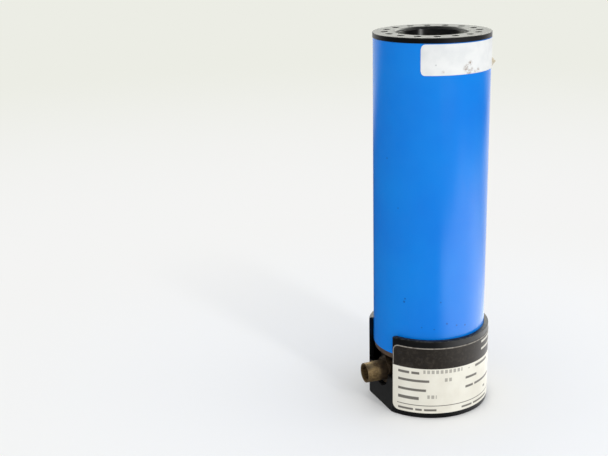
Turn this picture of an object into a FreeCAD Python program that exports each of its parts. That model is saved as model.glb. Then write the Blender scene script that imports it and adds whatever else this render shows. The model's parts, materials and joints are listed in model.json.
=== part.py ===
import FreeCAD, Part
import math
import os
import Sketcher

# An electrodeless discharge lamp, standing on its base with its light leaving upwards.
# Origin: centre of the base's underside. +Z runs up the tube's axis, and the connector points along -X.

# Driving sizes in millimetres, with angles in degrees
SIZES = {
    # Outer tube
    "tube_radius": 25.4,
    "tube_wall": 1.5,
    "tube_length": 139.7,
    # Base housing
    "cup_clearance": 0.15,
    "cup_wall": 1.9,
    "cup_height": 37.4,
    "cup_floor": 3.0,
    "flat_depth": 2.85,
    "flat_wall": 1.9,
    "sill_level": 16.5,
    "notch_clearance": 0.32,
    "foot_round": 0.6,
    "rim_round": 0.4,
    "boss_radius": 4.0,
    "boss_inset": 4.9,
    "boss_height": 22.5,
    # End plate
    "plate_setback": 0.5,
    "plate_edge": 2.5,
    "plate_spigot": 5.0,
    "spigot_clearance": 0.1,
    # Front ring
    "ring_proud": 0.15,
    "ring_flange": 2.2,
    "ring_spigot": 4.0,
    "ring_seat": 3.2,
    "ring_round": 0.3,
    "bevel_width": 1.45,
    "bevel_depth": 1.0,
    "vent_radius": 1.6,
    "vent_setback": 5.4,
    "vent_count": 16,
    # Light tube and window
    "light_tube_step": 1.5,
    "light_tube_wall": 1.5,
    "seat_clearance": 0.1,
    "cell_wall": 1.1,
    "cell_ledge": 1.2,
    "cell_lip": 0.5,
    "cell_skirt": 6.0,
    "cell_overlap": 2.5,
    "gasket_thickness": 0.8,
    "gasket_width": 3.0,
    "window_thickness": 2.0,
    # Coil former and what it holds
    "former_gap": 0.25,
    "former_wall": 3.0,
    "former_length": 48.0,
    "coil_base_thickness": 5.0,
    "coil_base_recess": 1.5,
    "disc_clearance": 0.9,
    "socket_height": 6.0,
    "bulb_wall": 1.0,
    "bulb_body": 20.0,
    "stem_radius": 3.0,
    "charge_angle": -58.0,
    "sleeve_wall": 3.4,
    "sleeve_clearance": 0.3,
    "sleeve_setback": 6.0,
    # Coil
    "strip_thickness": 0.8,
    "strip_height": 2.4,
    "wire_radius": 1.0,
    "coil_clearance": 0.3,
    "coil_turns": 6.5,
    "coil_rise": 7.0,
    "coil_gap": 1.3,
    "tail_spread": 3.2,
    "tail_reach": 1.0,
    "elbow_extra": 0.2,
    # Matching board
    "board_thickness": 1.6,
    "capacitor_inset": 4.0,
    "capacitor_radius": 6.0,
    "capacitor_height": 14.0,
    "capacitor_cap": 2.0,
    "capacitor_pin": 1.5,
    "capacitor_step": 1.4,
    "board_opening": 5.0,
    # Hexagon spacers
    "post_across": 5.5,
    "post_inset": 5.9,
    "lower_post_length": 15.0,
    "upper_post_length": 30.0,
    "stud_length": 4.0,
    # Screws
    "screw_radius": 1.5,
    "screw_clearance": 0.1,
    "screw_grip": 4.0,
    "thread_runout": 1.0,
    "base_screw_angle": 180.0,
    "head_radius": 2.75,
    "head_height": 1.9,
    "sunk_head_radius": 2.8,
    "sunk_head_depth": 0.15,
    "slot_width": 0.8,
    "slot_depth": 0.6,
    "small_screw_radius": 1.0,
    "small_head_radius": 1.9,
    "small_head_height": 1.3,
    "small_screw_grip": 3.0,
    # Connector and its bracket
    "connector_height": 16.0,
    "bracket_gap": 2.1,
    "bracket_thickness": 1.5,
    "bracket_half_width": 8.0,
    "bracket_drop": 8.5,
    "bracket_leg": 8.2,
    "bracket_bend": 2.0,
    "bracket_corner": 3.0,
    "bracket_screw_back": 4.4,
    "bracket_screw_side": 5.0,
    "thread_radius": 4.75,
    "barrel_radius": 4.55,
    "barrel_bore": 3.8,
    "barrel_length": 4.5,
    "connector_reach": 8.1,
    "shell_flange": 1.6,
    "shell_flange_radius": 6.2,
    "nut_across": 12.0,
    "nut_thickness": 2.3,
    "nut_bevel": 0.5,
    "washer_thickness": 0.6,
    "insulator_flange": 1.5,
    "insulator_lip": 1.2,
    "insulator_depth": 9.2,
    "contact_radius": 0.8,
    "contact_body": 1.2,
    "contact_setback": 2.2,
    "contact_tail": 1.0,
    "lead_radius": 0.6,
    "lead_bend": 5.0,
    "lead_clearance": 1.0,
    # Films
    "film_thickness": 0.15,
    "label_foot": 2.5,
    "label_margin": 3.2,
    "label_start_angle": 207.0,
    "label_wrap_angle": 187.0,
    "label_corner": 3.0,
    "tube_label_gap": 0.35,
    "tube_label_height": 12.8,
    "tube_label_start_angle": 231.5,
    "tube_label_wrap_angle": 87.0,
    "tube_label_flap": 9.0,
    "tube_label_corner": 2.0,
}

# Radii that several pieces share
TUBE_INSIDE = "(size.tube_radius - size.tube_wall)"
SPIGOT = "(size.tube_radius - size.tube_wall - size.spigot_clearance)"
CUP_INSIDE = "(size.tube_radius + size.cup_clearance)"
CUP_OUTSIDE = "(size.tube_radius + size.cup_clearance + size.cup_wall)"
DISC = "(size.tube_radius - size.tube_wall - size.disc_clearance)"
BOSS_CIRCLE = "(size.tube_radius - size.boss_inset)"
POST_CIRCLE = "(size.tube_radius - size.tube_wall - size.post_inset)"
FORMER = f"({POST_CIRCLE} - size.head_radius - size.former_gap)"
FORMER_FIT = f"({FORMER} + size.seat_clearance)"
FORMER_INSIDE = f"({FORMER} - size.former_wall)"
BULB = f"({FORMER_INSIDE} - size.sleeve_wall - 2 * size.sleeve_clearance)"
COIL_INSIDE = f"({FORMER} + size.coil_clearance)"
COIL_OUTSIDE = f"({COIL_INSIDE} + size.strip_thickness)"
NEAR_LEAD = f"({COIL_OUTSIDE} + size.wire_radius)"
FAR_LEAD = f"({NEAR_LEAD} + size.tail_spread)"
LIGHT_EDGE = f"({FORMER} + size.light_tube_step)"
LIGHT_SEAT = f"({LIGHT_EDGE} + size.seat_clearance)"
CELL_OUTSIDE = f"({LIGHT_SEAT} + size.cell_wall)"
APERTURE = f"({LIGHT_EDGE} - size.light_tube_wall)"
NUT_CORNER = "(size.nut_across / 2 / cos(30))"

# Levels above the base's underside, from the bottom of the stack to its top
PLATE = "(size.cup_floor + size.boss_height)"
TUBE_FOOT = f"({PLATE} + size.plate_edge)"
TUBE_TOP = f"({TUBE_FOOT} + size.tube_length)"
PLATE_TOP = f"({TUBE_FOOT} + size.plate_spigot)"
BOARD = f"({PLATE_TOP} + size.lower_post_length)"
BOARD_TOP = f"({BOARD} + size.board_thickness)"
COIL_BASE = f"({BOARD_TOP} + size.upper_post_length)"
FORMER_FOOT = f"({COIL_BASE} + size.coil_base_thickness - size.coil_base_recess)"
FORMER_TOP = f"({FORMER_FOOT} + size.former_length)"
COIL_START = f"({FORMER_FOOT} + size.coil_rise)"
COIL_END = f"({FORMER_TOP} - size.cell_skirt - size.coil_gap - size.strip_height / 2)"
LOWER_GASKET = f"({FORMER_TOP} + size.cell_ledge)"
WINDOW = f"({LOWER_GASKET} + size.gasket_thickness)"
UPPER_GASKET = f"({WINDOW} + size.window_thickness)"
LIGHT_TUBE = f"({UPPER_GASKET} + size.gasket_thickness)"
LIGHT_TUBE_END = f"({TUBE_TOP} + size.ring_flange - size.ring_seat)"

# Distances from the axis out along the connector
FLAT = f"({CUP_OUTSIDE} - size.flat_depth)"
BRACKET_FACE = f"({FLAT} - size.flat_wall - size.bracket_gap)"
BRACKET_BACK = f"({BRACKET_FACE} - size.bracket_thickness)"
SHELL_BACK = f"({BRACKET_BACK} - size.washer_thickness - size.shell_flange)"
CONNECTOR_END = f"({FLAT} + size.connector_reach)"
INSULATOR_END = f"({CONNECTOR_END} - size.insulator_depth)"
CONTACT_BACK = f"({SHELL_BACK} - size.insulator_flange - size.contact_tail)"
LEAD_LINE = f"({CONTACT_BACK} - size.lead_bend)"

# Holes that several pieces share
SCREW_HOLE = "(size.screw_radius + size.screw_clearance)"
WIRE_HOLE = "(size.wire_radius + size.screw_clearance)"
HEAD_RECESS = "(size.head_radius + 2 * size.screw_clearance)"
HEAD_RECESS_DEPTH = "(size.head_height + size.screw_clearance)"
TAPPED = "(size.screw_radius + size.screw_clearance / 2)"
TAPPED_DEPTH = "(size.screw_grip + size.thread_runout)"
SMALL_HOLE = "(size.small_screw_radius + size.screw_clearance)"
SMALL_TAPPED = "(size.small_screw_radius + size.screw_clearance / 2)"

# Places of screws, wires and capacitors, as (x, y)
BOSSES = [(BOSS_CIRCLE, "0"), ("0", BOSS_CIRCLE), ("0", f"-{BOSS_CIRCLE}")]
BRACKET_SCREW = f"({BRACKET_FACE} - size.bracket_screw_back)"
BRACKET_SCREWS = [(f"-{BRACKET_SCREW}", f"{side}size.bracket_screw_side") for side in ("", "-")]
COIL_LEADS = [(NEAR_LEAD, "0"), (f"-{FAR_LEAD}", "0")]
CAPACITOR_CIRCLE = f"({DISC} - size.capacitor_inset - size.capacitor_radius)"
CAPACITORS = [("0", CAPACITOR_CIRCLE), ("0", f"-{CAPACITOR_CIRCLE}")]

ALONG_Y = FreeCAD.Vector(0, 1, 0)
ALONG_Z = FreeCAD.Vector(0, 0, 1)

doc = FreeCAD.newDocument("discharge_lamp")
sheet = doc.addObject("Spreadsheet::Sheet", "size")
parts = {}


def fill_sheet():
    """Give each size a cell, with its name as the cell's alias."""
    for row, (name, number) in enumerate(SIZES.items(), start=1):
        cell = f"A{row}"
        sheet.set(cell, str(number))
        sheet.setAlias(cell, name)
    doc.recompute()


# Bodies and sketches

def value(thing, expression):
    """The number that an expression has now."""
    return float(thing.evalExpression(expression))


def near(first, second):
    """Are two measures the same to within a hundredth of a millimetre?"""
    return abs(first - second) < 0.01


def origin_feature(body, role):
    """A body's own origin plane or axis."""
    return next(feature for feature in body.Origin.OriginFeatures if feature.Role == role)


def turned_by(axis, degrees):
    """A placement that only turns."""
    return FreeCAD.Placement(FreeCAD.Vector(), FreeCAD.Rotation(axis, degrees))


def new_body(label, level="0", turn="0", across="0", up="0"):
    """A body at a level above the base's underside, turned about its axis and set off the lamp's."""
    body = doc.addObject("PartDesign::Body", label)
    body.Label = label
    body.Placement = turned_by(ALONG_Z, value(body, turn))
    for path, expression in (("Rotation.Angle", turn), ("Base.x", across), ("Base.y", up), ("Base.z", level)):
        if expression != "0":
            body.setExpression(f"Placement.{path}", expression)
    parts[label] = body
    return body


def new_connector_body(label):
    """A body whose own +Z points out along the connector, measured from the lamp's axis."""
    body = new_body(label, "size.connector_height")
    body.Placement = turned_by(ALONG_Y, -90)
    return body


def attach(feature, body, role, offset, axis=ALONG_Z, turn="0"):
    """Put a sketch or primitive on one of the body's origin planes, shifted and turned in its axes."""
    feature.AttachmentSupport = [(origin_feature(body, role), "")]
    feature.MapMode = "FlatFace"
    if turn != "0":
        feature.AttachmentOffset = turned_by(axis, value(body, turn))
        feature.setExpression("AttachmentOffset.Rotation.Angle", turn)
    for letter, expression in zip("xyz", offset):
        if expression != "0":
            feature.setExpression(f"AttachmentOffset.Base.{letter}", expression)
    return feature


def new_sketch(body, role, offset=("0", "0", "0"), axis=ALONG_Z, turn="0"):
    sketch = body.newObject("Sketcher::SketchObject", "sketch")
    return attach(sketch, body, role, offset, axis, turn)


def pin_point(sketch, geometry, end, across, up):
    """Hold a point at a place measured from the sketch's origin, or one way only."""
    for kind, axis, expression in (("DistanceX", -2, across), ("DistanceY", -1, up)):
        if expression is None:
            continue
        if expression == "0":
            sketch.addConstraint(Sketcher.Constraint("PointOnObject", geometry, end, axis))
            continue
        distance = value(sketch, expression)
        index = sketch.addConstraint(Sketcher.Constraint(kind, -1, 1, geometry, end, distance))
        sketch.setExpression(f"Constraints[{index}]", expression)


def pin_radius(sketch, geometry, expression):
    """Hold the radius of a circle or an arc."""
    index = sketch.addConstraint(Sketcher.Constraint("Radius", geometry, value(sketch, expression)))
    sketch.setExpression(f"Constraints[{index}]", expression)


def draw_outline(sketch, corners):
    """A closed outline of straight lines through the corners."""
    places = [FreeCAD.Vector(value(sketch, across), value(sketch, up), 0) for across, up in corners]
    count = len(corners)
    for index in range(count):
        sketch.addGeometry(Part.LineSegment(places[index], places[(index + 1) % count]), False)
    for index in range(count):
        sketch.addConstraint(Sketcher.Constraint("Coincident", index, 2, (index + 1) % count, 1))
    for index, (across, up) in enumerate(corners):
        pin_point(sketch, index, 1, across, up)
    return sketch


def draw_circle(sketch, across, up, radius):
    """A circle, its centre and radius tied to the sheet."""
    centre = FreeCAD.Vector(value(sketch, across), value(sketch, up), 0)
    index = sketch.addGeometry(Part.Circle(centre, ALONG_Z, value(sketch, radius)), False)
    pin_point(sketch, index, 3, across, up)
    pin_radius(sketch, index, radius)
    return sketch


def draw_flatted_circle(sketch, radius, flat):
    """A circle about the axis with a chord across it on the -X side."""
    reach = value(sketch, radius)
    distance = value(sketch, flat)
    half = math.sqrt(reach ** 2 - distance ** 2)
    low = FreeCAD.Vector(-distance, -half, 0)
    high = FreeCAD.Vector(-distance, half, 0)
    arc = sketch.addGeometry(Part.Arc(low, FreeCAD.Vector(reach, 0, 0), high), False)
    chord = sketch.addGeometry(Part.LineSegment(high, low), False)
    sketch.addConstraint(Sketcher.Constraint("Coincident", arc, 3, -1, 1))
    sketch.addConstraint(Sketcher.Constraint("Coincident", arc, 2, chord, 1))
    sketch.addConstraint(Sketcher.Constraint("Coincident", chord, 2, arc, 1))
    sketch.addConstraint(Sketcher.Constraint("Vertical", chord))
    pin_radius(sketch, arc, radius)
    pin_point(sketch, chord, 1, f"-{flat}", None)
    return sketch


# Features

def revolve(body, sketch, degrees="360", axis="V_Axis", kind="Revolution"):
    """Turn a profile about one of its sketch's axes, to add or (Groove) to cut."""
    feature = body.newObject(f"PartDesign::{kind}", kind.lower())
    feature.Profile = sketch
    feature.ReferenceAxis = (sketch, [axis])
    feature.setExpression("Angle", degrees)
    return feature


def pad(body, sketch, length, symmetric=False):
    """Raise a profile along its sketch's normal, or evenly to both sides of it."""
    feature = body.newObject("PartDesign::Pad", "pad")
    feature.Profile = sketch
    feature.setExpression("Length", length)
    if symmetric:
        feature.SideType = "Symmetric"
    return feature


def cut(body, sketch, depth=None, forwards=False):
    """Cut a profile to a depth, or right through, against or along its sketch's normal."""
    feature = body.newObject("PartDesign::Pocket", "pocket")
    feature.Profile = sketch
    feature.Reversed = forwards
    if depth is None:
        feature.Type = "ThroughAll"
    else:
        feature.setExpression("Length", depth)
    return feature


def pattern(body, originals, count, span="360"):
    """Repeat features about the body's Z axis, evenly over the span."""
    feature = body.newObject("PartDesign::PolarPattern", "pattern")
    feature.Originals = originals
    feature.Axis = (origin_feature(body, "Z_Axis"), [""])
    feature.setExpression("Angle", span)
    feature.setExpression("Occurrences", count)
    body.Tip = feature
    return feature


def mirror(body, originals):
    """Repeat features on the other side of the body's XZ plane."""
    feature = body.newObject("PartDesign::Mirrored", "mirror")
    feature.Originals = originals
    feature.MirrorPlane = (origin_feature(body, "XZ_Plane"), [""])
    body.Tip = feature
    return feature


def dress(body, kind, test, path, expression):
    """A fillet or chamfer on the edges of the body so far that pass a test."""
    doc.recompute()
    base = body.Tip
    names = [f"Edge{number}" for number, edge in enumerate(base.Shape.Edges, start=1) if test(edge)]
    feature = body.newObject(f"PartDesign::{kind}", kind.lower())
    feature.Base = (base, names)
    feature.setExpression(path, expression)
    return feature


def fillet(body, test, radius):
    return dress(body, "Fillet", test, "Radius", radius)


def chamfer(body, test, width):
    return dress(body, "Chamfer", test, "Size", width)


def circle_at(level, radius=None):
    """A test for arcs that lie at one level, with one radius if it is given."""
    def test(edge):
        if not isinstance(edge.Curve, Part.Circle):
            return False
        level_right = near(edge.BoundBox.ZMin, level) and near(edge.BoundBox.ZMax, level)
        return level_right and (radius is None or near(edge.Curve.Radius, radius))
    return test


def line_through(**place):
    """A test for straight edges whose middle has the given coordinates."""
    def test(edge):
        middle = edge.CenterOfMass
        fits = all(near(getattr(middle, axis), distance) for axis, distance in place.items())
        return fits and isinstance(edge.Curve, Part.Line)
    return test


def ring_corners(inside, outside, low, high):
    """The profile of a plain ring or tube."""
    return [(inside, low), (outside, low), (outside, high), (inside, high)]


def turned(label, level, corners, body=None, turn="0"):
    """A piece turned about its body's Z axis, its profile's corners as (radius, height)."""
    body = body or new_body(label, level, turn)
    revolve(body, draw_outline(new_sketch(body, "XZ_Plane"), corners))
    return body


def drill(body, places, radius, depth=None, from_level="0", downwards=False):
    """Holes along the body's Z, at places given as (x, y), upwards unless told otherwise."""
    sketch = new_sketch(body, "XY_Plane", ("0", "0", from_level))
    for across, up in places:
        draw_circle(sketch, across, up, radius)
    return cut(body, sketch, depth, forwards=not downwards)


def on_diagonals(circle):
    """Four places on a circle, halfway between the X and Y axes."""
    along = f"({circle} * cos(45))"
    return [(f"{x_sign}{along}", f"{y_sign}{along}") for x_sign in ("", "-") for y_sign in ("", "-")]


def hexagon(across):
    """The corners of a hexagon with one corner on the sketch's own X axis."""
    corner = f"({across} / 2 / cos(30))"
    flat = f"({across} / 2)"
    return [
        (corner, "0"), (f"({corner} / 2)", flat), (f"-({corner} / 2)", flat),
        (f"-{corner}", "0"), (f"-({corner} / 2)", f"-{flat}"), (f"({corner} / 2)", f"-{flat}"),
    ]


# Base housing: a moulded cup, flat and open towards the connector

OPENING_HALF = f"sqrt({CUP_OUTSIDE} ^ 2 - {FLAT} ^ 2)"


def make_base_housing():
    body = new_body("base_housing")
    outline = draw_flatted_circle(new_sketch(body, "XY_Plane"), CUP_OUTSIDE, FLAT)
    pad(body, outline, "size.cup_height")
    hollow = new_sketch(body, "XY_Plane", ("0", "0", "size.cup_floor"))
    draw_flatted_circle(hollow, CUP_INSIDE, f"({FLAT} - size.flat_wall)")
    cut(body, hollow, forwards=True)

    opening = draw_outline(new_sketch(body, "YZ_Plane"), [
        (f"-{OPENING_HALF}", "size.sill_level"),
        (OPENING_HALF, "size.sill_level"),
        (OPENING_HALF, "size.cup_height"),
        (f"-{OPENING_HALF}", "size.cup_height"),
    ])
    cut(body, opening)
    notch = new_sketch(body, "YZ_Plane")
    draw_circle(notch, "0", "size.connector_height", f"({NUT_CORNER} + size.notch_clearance)")
    cut(body, notch)

    bosses = new_sketch(body, "XY_Plane", ("0", "0", "size.cup_floor"))
    for across, up in BOSSES:
        draw_circle(bosses, across, up, "size.boss_radius")
    pad(body, bosses, "size.boss_height")
    drill(body, BOSSES, SCREW_HOLE)

    chamfer(body, circle_at(0, value(body, SCREW_HOLE)),
            f"(size.sunk_head_radius + size.sunk_head_depth - {SCREW_HOLE})")
    fillet(body, circle_at(0, value(body, CUP_OUTSIDE)), "size.foot_round")
    fillet(body, circle_at(value(body, "size.cup_height"), value(body, CUP_OUTSIDE)), "size.rim_round")


def screw_profile(body, circle, corners):
    """A screw's profile about an axis that stands on the body's X axis, out at a circle's radius."""
    return draw_outline(new_sketch(body, "XZ_Plane", (circle, "0", "0")), corners)


def make_base_screws():
    """Three countersunk screws, slotted, up through the base's bosses into the end plate."""
    body = new_body("base_screws", turn="-90")
    neck = "(size.sunk_head_depth + size.sunk_head_radius - size.screw_radius)"
    tip = f"({PLATE} + size.screw_grip)"
    screw = revolve(body, screw_profile(body, BOSS_CIRCLE, [
        ("0", "size.sunk_head_depth"),
        ("size.sunk_head_radius", "size.sunk_head_depth"),
        ("size.screw_radius", neck),
        ("size.screw_radius", tip),
        ("0", tip),
    ]))
    half_width = "(size.slot_width / 2)"
    slot = draw_outline(new_sketch(body, "XY_Plane", (BOSS_CIRCLE, "0", "size.sunk_head_depth")), [
        ("-size.sunk_head_radius", f"-{half_width}"),
        ("size.sunk_head_radius", f"-{half_width}"),
        ("size.sunk_head_radius", half_width),
        ("-size.sunk_head_radius", half_width),
    ])
    pattern(body, [screw, cut(body, slot, "size.slot_depth", forwards=True)], "3", "size.base_screw_angle")


# Tube and the two pieces that close its ends

TUBE_SCREW_HEAD = "(size.tube_radius - size.screw_clearance)"
TUBE_SCREW_TIP = f"({TUBE_INSIDE} - size.small_screw_grip)"
TUBE_SCREW_LEVEL = "(size.plate_spigot / 2)"


def make_outer_tube():
    """The tube, with four countersunk screw holes near its foot."""
    wall = ring_corners(TUBE_INSIDE, "size.tube_radius", "0", "size.tube_length")
    body = turned("outer_tube", TUBE_FOOT, wall, turn="45")
    mouth = "(size.tube_radius + size.cup_clearance)"
    profile = draw_outline(new_sketch(body, "XZ_Plane", ("0", TUBE_SCREW_LEVEL, "0")), [
        (TUBE_SCREW_TIP, "0"),
        (mouth, "0"),
        (mouth, f"(size.small_head_radius + {mouth} - {TUBE_SCREW_HEAD})"),
        (f"({TUBE_SCREW_HEAD} - size.small_head_radius + {SMALL_HOLE})", SMALL_HOLE),
        (TUBE_SCREW_TIP, SMALL_HOLE),
    ])
    pattern(body, [revolve(body, profile, axis="H_Axis", kind="Groove")], "4")


def make_tube_screws():
    """Four countersunk screws through the tube's wall into the end plate."""
    body = new_body("tube_screws", f"({TUBE_FOOT} + {TUBE_SCREW_LEVEL})", turn="45")
    neck = f"({TUBE_SCREW_HEAD} - size.small_head_radius + size.small_screw_radius)"
    profile = draw_outline(new_sketch(body, "XZ_Plane"), [
        (TUBE_SCREW_TIP, "0"),
        (TUBE_SCREW_HEAD, "0"),
        (TUBE_SCREW_HEAD, "size.small_head_radius"),
        (neck, "size.small_screw_radius"),
        (TUBE_SCREW_TIP, "size.small_screw_radius"),
    ])
    pattern(body, [revolve(body, profile, axis="H_Axis")], "4")


def make_end_plate():
    """The disc that closes the tube's foot and carries everything inside it."""
    rim = "(size.tube_radius - size.plate_setback)"
    top = "(size.plate_edge + size.plate_spigot)"
    body = turned("end_plate", PLATE, [
        ("0", "0"),
        (rim, "0"),
        (rim, "size.plate_edge"),
        (SPIGOT, "size.plate_edge"),
        (SPIGOT, top),
        ("0", top),
    ])
    drill(body, on_diagonals(POST_CIRCLE), SCREW_HOLE)
    drill(body, on_diagonals(POST_CIRCLE), HEAD_RECESS, HEAD_RECESS_DEPTH)
    drill(body, BOSSES, TAPPED, TAPPED_DEPTH)
    drill(body, BRACKET_SCREWS, SMALL_TAPPED, TAPPED_DEPTH)
    drill(body, [(f"-{LEAD_LINE}", "0")], "(size.lead_radius + size.lead_clearance)")
    tip = f"({TUBE_SCREW_TIP} - size.screw_clearance)"
    level = f"(size.plate_edge + {TUBE_SCREW_LEVEL})"
    profile = draw_outline(new_sketch(body, "XZ_Plane", ("0", level, "0"), ALONG_Y, "45"), [
        (tip, "0"), ("size.tube_radius", "0"), ("size.tube_radius", SMALL_TAPPED), (tip, SMALL_TAPPED),
    ])
    pattern(body, [revolve(body, profile, axis="H_Axis", kind="Groove")], "4")


def make_front_ring():
    """The moulded ring with its bevelled aperture and the vents round it."""
    edge = "(size.tube_radius + size.ring_proud)"
    seat = "(size.ring_flange - size.ring_seat)"
    bevel = f"({APERTURE} + size.bevel_width)"
    body = turned("front_ring", TUBE_TOP, [
        (SPIGOT, "-size.ring_spigot"),
        (SPIGOT, "0"),
        (edge, "0"),
        (edge, "size.ring_flange"),
        (bevel, "size.ring_flange"),
        (APERTURE, "(size.ring_flange - size.bevel_depth)"),
        (APERTURE, seat),
        (LIGHT_SEAT, seat),
        (LIGHT_SEAT, "-size.ring_spigot"),
    ])
    fillet(body, circle_at(value(body, "size.ring_flange"), value(body, edge)), "size.ring_round")
    vent = new_sketch(body, "XY_Plane", ("0", "0", "size.ring_flange"))
    draw_circle(vent, f"({APERTURE} + size.vent_setback)", "0", "size.vent_radius")
    pattern(body, [cut(body, vent)], "size.vent_count")


# Light tube and window, stacked between the former and the front ring

def make_window_stack():
    seal = ring_corners(f"({LIGHT_EDGE} - size.gasket_width)", LIGHT_EDGE, "0", "size.gasket_thickness")
    turned("lower_gasket", LOWER_GASKET, seal)
    turned("window", WINDOW, ring_corners("0", LIGHT_EDGE, "0", "size.window_thickness"))
    turned("upper_gasket", UPPER_GASKET, seal)
    length = f"({LIGHT_TUBE_END} - {LIGHT_TUBE})"
    turned("light_tube", LIGHT_TUBE, ring_corners(APERTURE, LIGHT_EDGE, "0", length))


def make_window_cell():
    """The cap on the former, with the window's seat in its upper side."""
    ledge = "(size.cell_skirt + size.cell_ledge)"
    top = f"({ledge} + 2 * size.gasket_thickness + size.window_thickness + size.cell_overlap)"
    opening = f"({FORMER_INSIDE} + size.cell_lip)"
    turned("window_cell", f"({FORMER_TOP} - size.cell_skirt)", [
        (FORMER_FIT, "0"),
        (CELL_OUTSIDE, "0"),
        (CELL_OUTSIDE, top),
        (LIGHT_SEAT, top),
        (LIGHT_SEAT, ledge),
        (opening, ledge),
        (opening, "size.cell_skirt"),
        (FORMER_FIT, "size.cell_skirt"),
    ])


# Coil former, what stands in it, and the disc that carries it

def make_former_stack():
    turned("coil_former", FORMER_FOOT, ring_corners(FORMER_INSIDE, FORMER, "0", "size.former_length"))
    turned("bulb_socket", FORMER_FOOT, ring_corners(
        "(size.stem_radius + size.seat_clearance)", f"({FORMER_INSIDE} - size.seat_clearance)",
        "0", "size.socket_height"))
    turned("insulation_sleeve", f"({FORMER_FOOT} + size.socket_height)", ring_corners(
        f"({BULB} + size.sleeve_clearance)", f"({FORMER_INSIDE} - size.sleeve_clearance)",
        "0", "(size.former_length - size.socket_height - size.sleeve_setback)"))


def make_coil_base():
    """The ceramic disc, recessed for the former and drilled for its screws and the coil's leads."""
    seat = "(size.coil_base_thickness - size.coil_base_recess)"
    body = turned("coil_base", COIL_BASE, [
        ("0", "0"),
        (DISC, "0"),
        (DISC, "size.coil_base_thickness"),
        (FORMER_FIT, "size.coil_base_thickness"),
        (FORMER_FIT, seat),
        ("0", seat),
    ])
    drill(body, on_diagonals(POST_CIRCLE), SCREW_HOLE)
    drill(body, COIL_LEADS, WIRE_HOLE)


def primitive(kind, name, level, **sizes):
    """A Part primitive on the lamp's axis, at a level and with its sizes tied to the sheet."""
    shape = doc.addObject(f"Part::{kind}", name)
    shape.setExpression("Placement.Base.z", level)
    for property_name, expression in sizes.items():
        shape.setExpression(property_name, expression)
    return shape


def capsule(name, radius, low, length):
    """A round-ended cylinder, from the centre of its lower end to that of its upper end."""
    joined = doc.addObject("Part::MultiFuse", name)
    joined.Shapes = [
        primitive("Sphere", f"{name}_foot", low, Radius=radius),
        primitive("Cylinder", f"{name}_body", low, Radius=radius, Height=length),
        primitive("Sphere", f"{name}_dome", f"({low} + {length})", Radius=radius),
    ]
    return joined


def make_bulb():
    """The sealed quartz bulb on its solid stem, and the element that lies in it."""
    low = f"({FORMER_FOOT} + size.socket_height + {BULB})"
    inside = f"({BULB} - size.bulb_wall)"
    blank = doc.addObject("Part::Fuse", "bulb_blank")
    blank.Base = capsule("bulb_outside", BULB, low, "size.bulb_body")
    blank.Tool = primitive("Cylinder", "bulb_stem", FORMER_FOOT, Radius="size.stem_radius",
                           Height=f"(size.socket_height + {BULB})")
    bulb = doc.addObject("Part::Cut", "bulb")
    bulb.Base = blank
    bulb.Tool = capsule("bulb_inside", inside, low, "size.bulb_body")
    bulb.Label = "bulb"
    parts["bulb"] = bulb
    charge = primitive("Sphere", "element_charge", low, Radius=inside, Angle2="size.charge_angle")
    charge.Label = "element_charge"
    parts["element_charge"] = charge


def make_coil():
    """The coil, wound from flat copper strip."""
    body = new_body("rf_coil", COIL_START)
    half = "(size.strip_height / 2)"
    section = new_sketch(body, "XZ_Plane")
    draw_outline(section, ring_corners(COIL_INSIDE, COIL_OUTSIDE, f"-{half}", half))
    helix = body.newObject("PartDesign::AdditiveHelix", "helix")
    helix.Profile = section
    helix.ReferenceAxis = (section, ["V_Axis"])
    helix.Mode = "height-turns-angle"
    helix.setExpression("Height", f"({COIL_END} - {COIL_START})")
    helix.setExpression("Turns", "size.coil_turns")


def wire_run(body, role, offset, length):
    """A straight run of the coil's lead, along the normal of an origin plane."""
    return pad(body, draw_circle(new_sketch(body, role, offset), "0", "0", "size.wire_radius"), length)


def make_coil_leads():
    """The two wires soldered to the strip's ends, down through the coil base to the board."""
    foot = f"({BOARD} - size.tail_reach)"
    near_top = f"({COIL_START} + size.strip_height / 2 - {foot})"
    wire_run(new_body("coil_lead_1", foot), "XY_Plane", (NEAR_LEAD, "0", "0"), near_top)
    body = new_body("coil_lead_2", foot)
    far_top = f"({COIL_END} - {foot})"
    wire_run(body, "XY_Plane", (f"-{FAR_LEAD}", "0", "0"), far_top)
    wire_run(body, "YZ_Plane", ("0", far_top, f"-{FAR_LEAD}"), f"({FAR_LEAD} - {COIL_OUTSIDE})")
    elbow = body.newObject("PartDesign::AdditiveSphere", "elbow")
    attach(elbow, body, "XY_Plane", (f"-{FAR_LEAD}", "0", far_top))
    elbow.setExpression("Radius", "(size.wire_radius + size.elbow_extra)")


# Matching board and what stands on it

def make_matching_board():
    disc = ring_corners("size.board_opening", DISC, "0", "size.board_thickness")
    body = turned("matching_board", BOARD, disc)
    drill(body, on_diagonals(POST_CIRCLE), SCREW_HOLE)
    drill(body, CAPACITORS, "(size.capacitor_pin + size.screw_clearance)")
    drill(body, COIL_LEADS, WIRE_HOLE)
    drill(body, [(f"-{LEAD_LINE}", "0")], "(size.lead_radius + size.screw_clearance)")


def make_capacitor(label, place):
    """A ceramic transmitting capacitor, with a metal cap at each end and a pin through the board."""
    pin_end = "-(size.board_thickness + size.tail_reach)"
    cap = "(size.capacitor_radius - size.capacitor_step)"
    shoulder = "(size.capacitor_height - size.capacitor_cap)"
    turned(label, BOARD_TOP, [
        ("0", pin_end),
        ("size.capacitor_pin", pin_end),
        ("size.capacitor_pin", "0"),
        (cap, "0"),
        (cap, "size.capacitor_cap"),
        ("size.capacitor_radius", "size.capacitor_cap"),
        ("size.capacitor_radius", shoulder),
        (cap, shoulder),
        (cap, "size.capacitor_height"),
        ("0", "size.capacitor_height"),
    ], new_body(label, BOARD_TOP, across=place[0], up=place[1]))


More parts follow.
